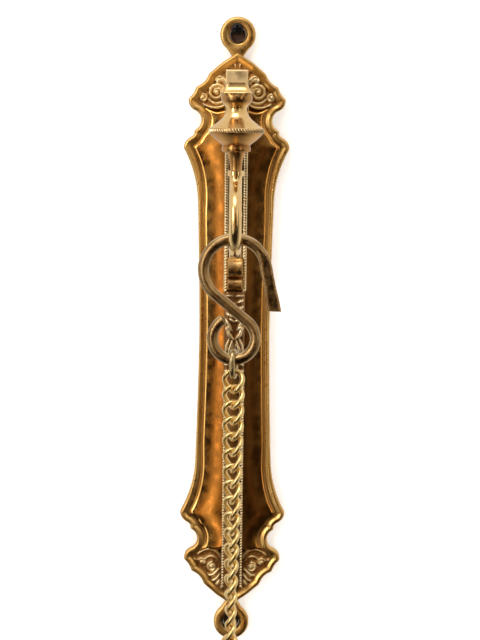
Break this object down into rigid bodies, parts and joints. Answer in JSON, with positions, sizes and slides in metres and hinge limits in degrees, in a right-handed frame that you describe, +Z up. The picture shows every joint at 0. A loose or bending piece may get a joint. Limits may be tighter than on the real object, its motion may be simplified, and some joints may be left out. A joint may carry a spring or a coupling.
{
  "type": "hanging scale bracket",
  "caption": "Wall-mounted brass bracket of a hanging scale: long waisted backplate, braced arm, turned drop with swivel hook, S-hook and curb chain ending in a load hook.",
  "frame": {"origin": "middle of the backplate's back face, halfway between the two lug holes", "axes": "+Z up, front faces -Y, back of the plate lies in Y = 0, +X to the viewer's right"},
  "size_m": [0.058, 0.1092, 0.3733],
  "materials": {
    "plate": "polished, aged lacquer",
    "relief": "cast, satin",
    "arm": "polished",
    "brace": "cast, satin",
    "drop": "turned and polished",
    "hook": "polished",
    "s_hook": "dark worn patina",
    "chain": "satin drawn wire",
    "fixings": "plain machined"
  },
  "bodies": {
    "bracket": {"backplate": "plate", "top_relief": "relief", "bottom_relief": "relief", "arm": "arm", "arm_screw": "fixings", "brace_spine": "brace", "brace_scroll": "brace", "brace_leaf": "brace", "brace_screw_1": "fixings", "brace_screw_2": "fixings", "drop_bell": "drop", "knurled_rim": "drop", "drop_bowl": "drop"},
    "swivel_hook": {"hook": "hook", "swivel_washer": "fixings", "swivel_nut": "fixings"},
    "s_hook": {"s_hook": "s_hook"},
    "connecting_link": {"connecting_link": "chain"},
    "curb_link_01": {"curb_link_01": "chain"},
    "curb_link_02": {"curb_link_02": "chain"},
    "curb_link_03": {"curb_link_03": "chain"},
    "curb_link_04": {"curb_link_04": "chain"},
    "curb_link_05": {"curb_link_05": "chain"},
    "curb_link_06": {"curb_link_06": "chain"},
    "curb_link_07": {"curb_link_07": "chain"},
    "curb_link_08": {"curb_link_08": "chain"},
    "curb_link_09": {"curb_link_09": "chain"},
    "curb_link_10": {"curb_link_10": "chain"},
    "curb_link_11": {"curb_link_11": "chain"},
    "curb_link_12": {"curb_link_12": "chain"},
    "curb_link_13": {"curb_link_13": "chain"},
    "curb_link_14": {"curb_link_14": "chain"},
    "curb_link_15": {"curb_link_15": "chain"},
    "curb_link_16": {"curb_link_16": "chain"},
    "curb_link_17": {"curb_link_17": "chain"},
    "load_hook": {"load_hook": "chain"}
  },
  "joints": [
    {"name": "hook_swivel", "type": "hinge", "parent": "bracket", "child": "swivel_hook", "pos_m": [0, -0.09, 0.0902], "axis": [0, 0, 1], "continuous": true},
    {"name": "s_hook_swing", "type": "hinge", "parent": "swivel_hook", "child": "s_hook", "pos_m": [0, -0.09, 0.04935], "axis": [0, -1, 0], "range_deg": [-30, 30]},
    {"name": "connecting_link_swing", "type": "hinge", "parent": "s_hook", "child": "connecting_link", "pos_m": [0, -0.09, -0.0066], "axis": [1, 0, 0], "range_deg": [-15, 15]},
    {"name": "chain_swing", "type": "hinge", "parent": "connecting_link", "child": "curb_link_01", "pos_m": [0, -0.09, -0.01515], "axis": [-0.1736, -0.9848, 0], "range_deg": [-15, 15]},
    {"name": "link_bend_01", "type": "hinge", "parent": "curb_link_01", "child": "curb_link_02", "pos_m": [0, -0.09, -0.0229], "axis": [0.4226, -0.9063, 0], "range_deg": [-10, 10]},
    {"name": "link_bend_02", "type": "hinge", "parent": "curb_link_02", "child": "curb_link_03", "pos_m": [0, -0.09, -0.0284], "axis": [-0.9613, -0.2756, 0], "range_deg": [-10, 10]},
    {"name": "link_bend_03", "type": "hinge", "parent": "curb_link_03", "child": "curb_link_04", "pos_m": [0, -0.09, -0.0393], "axis": [0.2756, -0.9613, 0], "range_deg": [-10, 10]},
    {"name": "link_bend_04", "type": "hinge", "parent": "curb_link_04", "child": "curb_link_05", "pos_m": [0, -0.09, -0.0448], "axis": [-0.9925, -0.1219, 0], "range_deg": [-10, 10]},
    {"name": "link_bend_05", "type": "hinge", "parent": "curb_link_05", "child": "curb_link_06", "pos_m": [0, -0.09, -0.0557], "axis": [0.1219, -0.9925, 0], "range_deg": [-10, 10]},
    {"name": "link_bend_06", "type": "hinge", "parent": "curb_link_06", "child": "curb_link_07", "pos_m": [0, -0.09, -0.0612], "axis": [-0.9994, 0.0349, 0], "range_deg": [-10, 10]},
    {"name": "link_bend_07", "type": "hinge", "parent": "curb_link_07", "child": "curb_link_08", "pos_m": [0, -0.09, -0.0721], "axis": [-0.0349, -0.9994, 0], "range_deg": [-10, 10]},
    {"name": "link_bend_08", "type": "hinge", "parent": "curb_link_08", "child": "curb_link_09", "pos_m": [0, -0.09, -0.0776], "axis": [-0.9816, 0.1908, 0], "range_deg": [-10, 10]},
    {"name": "link_bend_09", "type": "hinge", "parent": "curb_link_09", "child": "curb_link_10", "pos_m": [0, -0.09, -0.0885], "axis": [-0.1908, -0.9816, 0], "range_deg": [-10, 10]},
    {"name": "link_bend_10", "type": "hinge", "parent": "curb_link_10", "child": "curb_link_11", "pos_m": [0, -0.09, -0.094], "axis": [-0.9397, 0.342, 0], "range_deg": [-10, 10]},
    {"name": "link_bend_11", "type": "hinge", "parent": "curb_link_11", "child": "curb_link_12", "pos_m": [0, -0.09, -0.1049], "axis": [-0.342, -0.9397, 0], "range_deg": [-10, 10]},
    {"name": "link_bend_12", "type": "hinge", "parent": "curb_link_12", "child": "curb_link_13", "pos_m": [0, -0.09, -0.1104], "axis": [-0.8746, 0.4848, 0], "range_deg": [-10, 10]},
    {"name": "link_bend_13", "type": "hinge", "parent": "curb_link_13", "child": "curb_link_14", "pos_m": [0, -0.09, -0.1213], "axis": [-0.4848, -0.8746, 0], "range_deg": [-10, 10]},
    {"name": "link_bend_14", "type": "hinge", "parent": "curb_link_14", "child": "curb_link_15", "pos_m": [0, -0.09, -0.1268], "axis": [-0.788, 0.6157, 0], "range_deg": [-10, 10]},
    {"name": "link_bend_15", "type": "hinge", "parent": "curb_link_15", "child": "curb_link_16", "pos_m": [0, -0.09, -0.1377], "axis": [-0.6157, -0.788, 0], "range_deg": [-10, 10]},
    {"name": "link_bend_16", "type": "hinge", "parent": "curb_link_16", "child": "curb_link_17", "pos_m": [0, -0.09, -0.1432], "axis": [-0.682, 0.7314, 0], "range_deg": [-10, 10]},
    {"name": "load_hook_swing", "type": "hinge", "parent": "curb_link_17", "child": "load_hook", "pos_m": [0, -0.09, -0.1541], "axis": [-0.7314, -0.682, 0], "range_deg": [-15, 15]}
  ]
}
